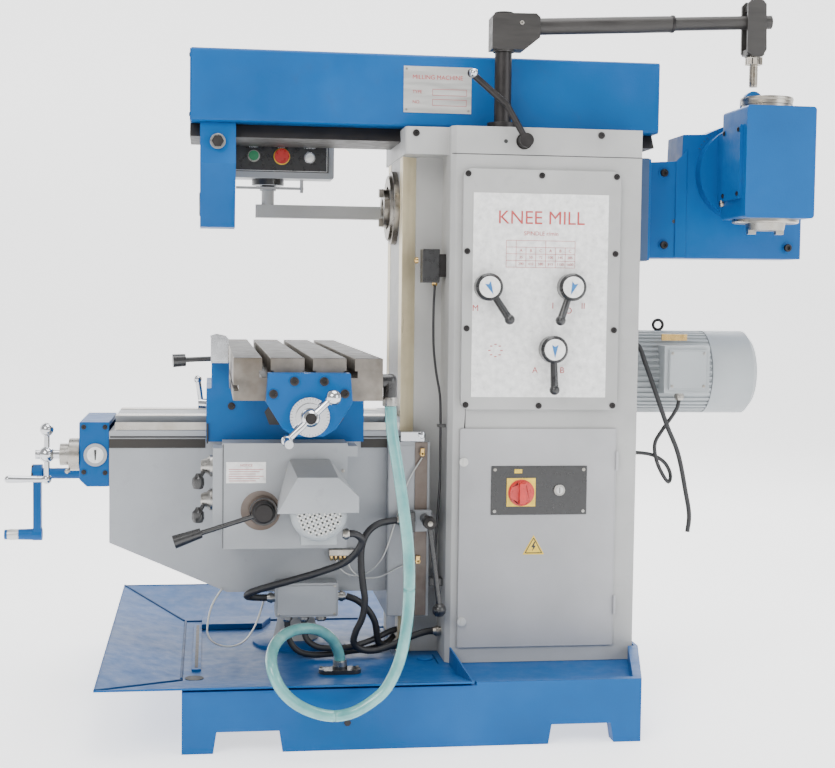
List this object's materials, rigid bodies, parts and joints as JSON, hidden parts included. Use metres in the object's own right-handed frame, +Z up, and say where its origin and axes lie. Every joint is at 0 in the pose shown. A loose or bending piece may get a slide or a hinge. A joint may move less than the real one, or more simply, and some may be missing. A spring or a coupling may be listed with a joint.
{
  "type": "milling machine",
  "caption": "Knee-type milling machine with horizontal spindle, overarm with arbor support, vertical head on a rear bracket with lifting jib, table, saddle, knee and column on a tray base",
  "frame": {"origin": "centre of the box around the machine at floor height", "axes": "+X from the front of the knee towards the rear of the column, +Y along the table away from the gear cover side, +Z up"},
  "size_m": [2.066, 1.624, 1.762],
  "materials": {
    "blue_paint": "gloss machine enamel",
    "warm_paint": "semi-gloss machine enamel",
    "gray_paint": "semi-gloss machine enamel",
    "table_iron": "ground, oiled",
    "dark_steel": "blackened",
    "steel": "turned",
    "chrome": "polished",
    "black_plastic": "moulded",
    "red_plastic": "moulded",
    "green_plastic": "moulded",
    "motor_paint": "satin",
    "hose_teal": "translucent, glossy"
  },
  "bodies": {
    "machine": {"base": "blue_paint", "drip_tray": "blue_paint", "column": "warm_paint", "gear_cover": "warm_paint", "cabinet_backplate": "gray_paint", "spindle_cap": "steel", "hoist_post": "dark_steel", "head_bracket": "blue_paint", "main_motor": "motor_paint", "motor_cowl": "motor_paint", "screw_pedestal": "warm_paint", "drain_flange": "black_plastic", "coolant_hose_lower": "hose_teal"},
    "speed_lever_front": {"speed_lever_front": "black_plastic"},
    "speed_lever_rear": {"speed_lever_rear": "black_plastic"},
    "range_lever": {"range_lever": "black_plastic"},
    "door": {"cabinet_door": "warm_paint"},
    "switch_knob": {"main_switch_knob": "red_plastic"},
    "lock_upper": {"door_lock_upper": "dark_steel"},
    "lock_lower": {"door_lock_lower": "dark_steel"},
    "overarm": {"overarm": "blue_paint", "overarm_dovetail": "table_iron"},
    "arbor_support": {"arbor_support": "blue_paint"},
    "overarm_lever": {"overarm_lever": "dark_steel"},
    "spindle": {"horizontal_spindle": "steel"},
    "pendant_arm": {"pendant_arm": "warm_paint"},
    "pendant_box": {"pendant_box": "gray_paint"},
    "start_button": {"start_button": "green_plastic"},
    "stop_button": {"stop_button": "red_plastic"},
    "jib": {"hoist_jib": "dark_steel"},
    "jib_tube": {"hoist_arm": "steel"},
    "hoist_screw": {"hoist_screw": "steel"},
    "head": {"vertical_head": "blue_paint", "head_top_cap": "steel"},
    "head_spindle": {"vertical_spindle": "steel"},
    "knee": {"knee": "gray_paint", "knee_front_cover": "blue_paint", "feed_gearbox": "warm_paint", "feed_motor": "motor_paint", "junction_box": "gray_paint"},
    "cross_crank": {"cross_feed_crank": "chrome", "cross_feed_dial": "steel"},
    "elevating_crank": {"elevating_crank": "blue_paint"},
    "elevating_screw": {"elevating_screw": "steel"},
    "feed_selector_upper": {"feed_selector_upper": "black_plastic"},
    "feed_selector_lower": {"feed_selector_lower": "black_plastic"},
    "feed_direction_lever": {"feed_direction_lever": "black_plastic"},
    "knee_clamp_lever": {"knee_clamp_lever": "black_plastic"},
    "saddle": {"saddle": "blue_paint", "coolant_hose_middle": "hose_teal"},
    "feed_trip_lever": {"feed_trip_lever": "black_plastic"},
    "table_lock_lever": {"table_lock_lever": "chrome"},
    "table": {"table": "table_iron", "table_bracket_near": "blue_paint", "table_bracket_far": "blue_paint", "drain_elbow": "black_plastic", "coolant_hose_upper": "hose_teal"},
    "table_feed": {"table_screw": "steel", "table_crank_near": "chrome", "table_crank_far": "chrome"}
  },
  "joints": [
    {"name": "knee_slide", "type": "slide", "parent": "machine", "child": "knee", "axis": [0, 0, 1], "range_m": [-0.03, 0.29], "deforming": ["coolant_hose_lower"]},
    {"name": "saddle_slide", "type": "slide", "parent": "knee", "child": "saddle", "axis": [1, 0, 0], "range_m": [-0.15, 0.05], "deforming": ["coolant_hose_middle"]},
    {"name": "table_slide", "type": "slide", "parent": "saddle", "child": "table", "axis": [0, 1, 0], "range_m": [-0.25, 0.25], "deforming": ["coolant_hose_upper"]},
    {"name": "table_feed_turn", "type": "hinge", "parent": "table", "child": "table_feed", "pos_m": [-0.2955, 0, 0.754], "axis": [0, 1, 0], "continuous": true},
    {"name": "cross_crank_turn", "type": "hinge", "parent": "knee", "child": "cross_crank", "pos_m": [-0.899, -0.115, 0.614], "axis": [1, 0, 0], "continuous": true},
    {"name": "elevating_crank_turn", "type": "hinge", "parent": "knee", "child": "elevating_crank", "pos_m": [-0.933, 0.13, 0.538], "axis": [1, 0, 0], "continuous": true},
    {"name": "elevating_screw_turn", "type": "hinge", "parent": "knee", "child": "elevating_screw", "pos_m": [-0.28, 0, 0.3], "axis": [0, 0, 1], "continuous": true},
    {"name": "feed_selector_upper_turn", "type": "hinge", "parent": "knee", "child": "feed_selector_upper", "pos_m": [-0.511, -0.292, 0.605], "axis": [1, 0, 0], "range_deg": [-30, 30]},
    {"name": "feed_selector_lower_turn", "type": "hinge", "parent": "knee", "child": "feed_selector_lower", "pos_m": [-0.511, -0.292, 0.525], "axis": [1, 0, 0], "range_deg": [-30, 30]},
    {"name": "feed_direction_turn", "type": "hinge", "parent": "knee", "child": "feed_direction_lever", "pos_m": [-0.379, -0.36, 0.503], "axis": [0, 1, 0], "range_deg": [-25, 25]},
    {"name": "knee_clamp_turn", "type": "hinge", "parent": "knee", "child": "knee_clamp_lever", "pos_m": [0.025, -0.24, 0.462], "axis": [0, 1, 0], "range_deg": [-10, 40]},
    {"name": "feed_trip_turn", "type": "hinge", "parent": "saddle", "child": "feed_trip_lever", "pos_m": [-0.479, -0.21, 0.856], "axis": [0, 0, 1], "range_deg": [-20, 20]},
    {"name": "table_lock_turn", "type": "hinge", "parent": "saddle", "child": "table_lock_lever", "pos_m": [-0.523, -0.15, 0.742], "axis": [1, 0, 0], "range_deg": [-45, 45]},
    {"name": "overarm_slide", "type": "slide", "parent": "machine", "child": "overarm", "axis": [1, 0, 0], "range_m": [-0.25, 0.06]},
    {"name": "arbor_support_slide", "type": "slide", "parent": "overarm", "child": "arbor_support", "axis": [1, 0, 0], "range_m": [-0.02, 0.29]},
    {"name": "overarm_lever_turn", "type": "hinge", "parent": "machine", "child": "overarm_lever", "pos_m": [0.25, -0.27, 1.391], "axis": [0, 1, 0], "range_deg": [-40, 20]},
    {"name": "spindle_turn", "type": "hinge", "parent": "machine", "child": "spindle", "pos_m": [-0.033, 0, 1.237], "axis": [1, 0, 0], "continuous": true},
    {"name": "speed_front_turn", "type": "hinge", "parent": "machine", "child": "speed_lever_front", "pos_m": [0.161, -0.28, 1.036], "axis": [0, 1, 0], "range_deg": [-60, 60]},
    {"name": "speed_rear_turn", "type": "hinge", "parent": "machine", "child": "speed_lever_rear", "pos_m": [0.367, -0.28, 1.038], "axis": [0, 1, 0], "range_deg": [-60, 60]},
    {"name": "range_lever_turn", "type": "hinge", "parent": "machine", "child": "range_lever", "pos_m": [0.324, -0.28, 0.886], "axis": [0, 1, 0], "range_deg": [-60, 60]},
    {"name": "door_hinge", "type": "hinge", "parent": "machine", "child": "door", "pos_m": [0.4965, -0.258, 0.419], "axis": [0, 0, 1], "range_deg": [0, 100]},
    {"name": "switch_turn", "type": "hinge", "parent": "door", "child": "switch_knob", "pos_m": [0.255, -0.26, 0.532], "axis": [0, 1, 0], "range_deg": [0, 90]},
    {"name": "lock_upper_turn", "type": "hinge", "parent": "door", "child": "lock_upper", "pos_m": [0.111, -0.258, 0.608], "axis": [0, 1, 0], "range_deg": [0, 90]},
    {"name": "lock_lower_turn", "type": "hinge", "parent": "door", "child": "lock_lower", "pos_m": [0.111, -0.258, 0.213], "axis": [0, 1, 0], "range_deg": [0, 90]},
    {"name": "pendant_swing", "type": "hinge", "parent": "machine", "child": "pendant_arm", "pos_m": [0.045, 0.228, 1.24], "axis": [0, 0, 1], "range_deg": [-60, 0]},
    {"name": "pendant_box_turn", "type": "hinge", "parent": "pendant_arm", "child": "pendant_box", "pos_m": [-0.352, 0.23, 1.29], "axis": [0, 0, 1], "range_deg": [0, 90]},
    {"name": "start_press", "type": "slide", "parent": "pendant_box", "child": "start_button", "axis": [0, 1, 0], "range_m": [0, 0.004], "stiffness_N_per_m": 800},
    {"name": "stop_press", "type": "slide", "parent": "pendant_box", "child": "stop_button", "axis": [0, 1, 0], "range_m": [0, 0.005], "stiffness_N_per_m": 800},
    {"name": "jib_swing", "type": "hinge", "parent": "machine", "child": "jib", "pos_m": [0.207, -0.19, 1.615], "axis": [0, 0, 1], "range_deg": [-180, 0]},
    {"name": "jib_extend", "type": "slide", "parent": "jib", "child": "jib_tube", "axis": [0.9985, 0, 0.0552], "range_m": [0, 0.15]},
    {"name": "hoist_screw_turn", "type": "hinge", "parent": "jib_tube", "child": "hoist_screw", "pos_m": [0.849, -0.19, 1.61], "axis": [0, 0, 1], "continuous": true},
    {"name": "head_tilt", "type": "hinge", "parent": "machine", "child": "head", "pos_m": [0.862, -0.1, 1.339], "axis": [0, 1, 0], "range_deg": [-45, 45]},
    {"name": "head_spindle_turn", "type": "hinge", "parent": "head", "child": "head_spindle", "pos_m": [0.867, -0.25, 1.2], "axis": [0, 0, 1], "continuous": true}
  ],
  "couplings": [
    {"joint": "table_feed_turn", "follows": "table_slide", "rad_per_m": 1047.2},
    {"joint": "cross_crank_turn", "follows": "saddle_slide", "rad_per_m": 1047.2},
    {"joint": "elevating_crank_turn", "follows": "knee_slide", "rad_per_m": 3141.6},
    {"joint": "elevating_screw_turn", "follows": "knee_slide", "rad_per_m": -1047.2}
  ]
}
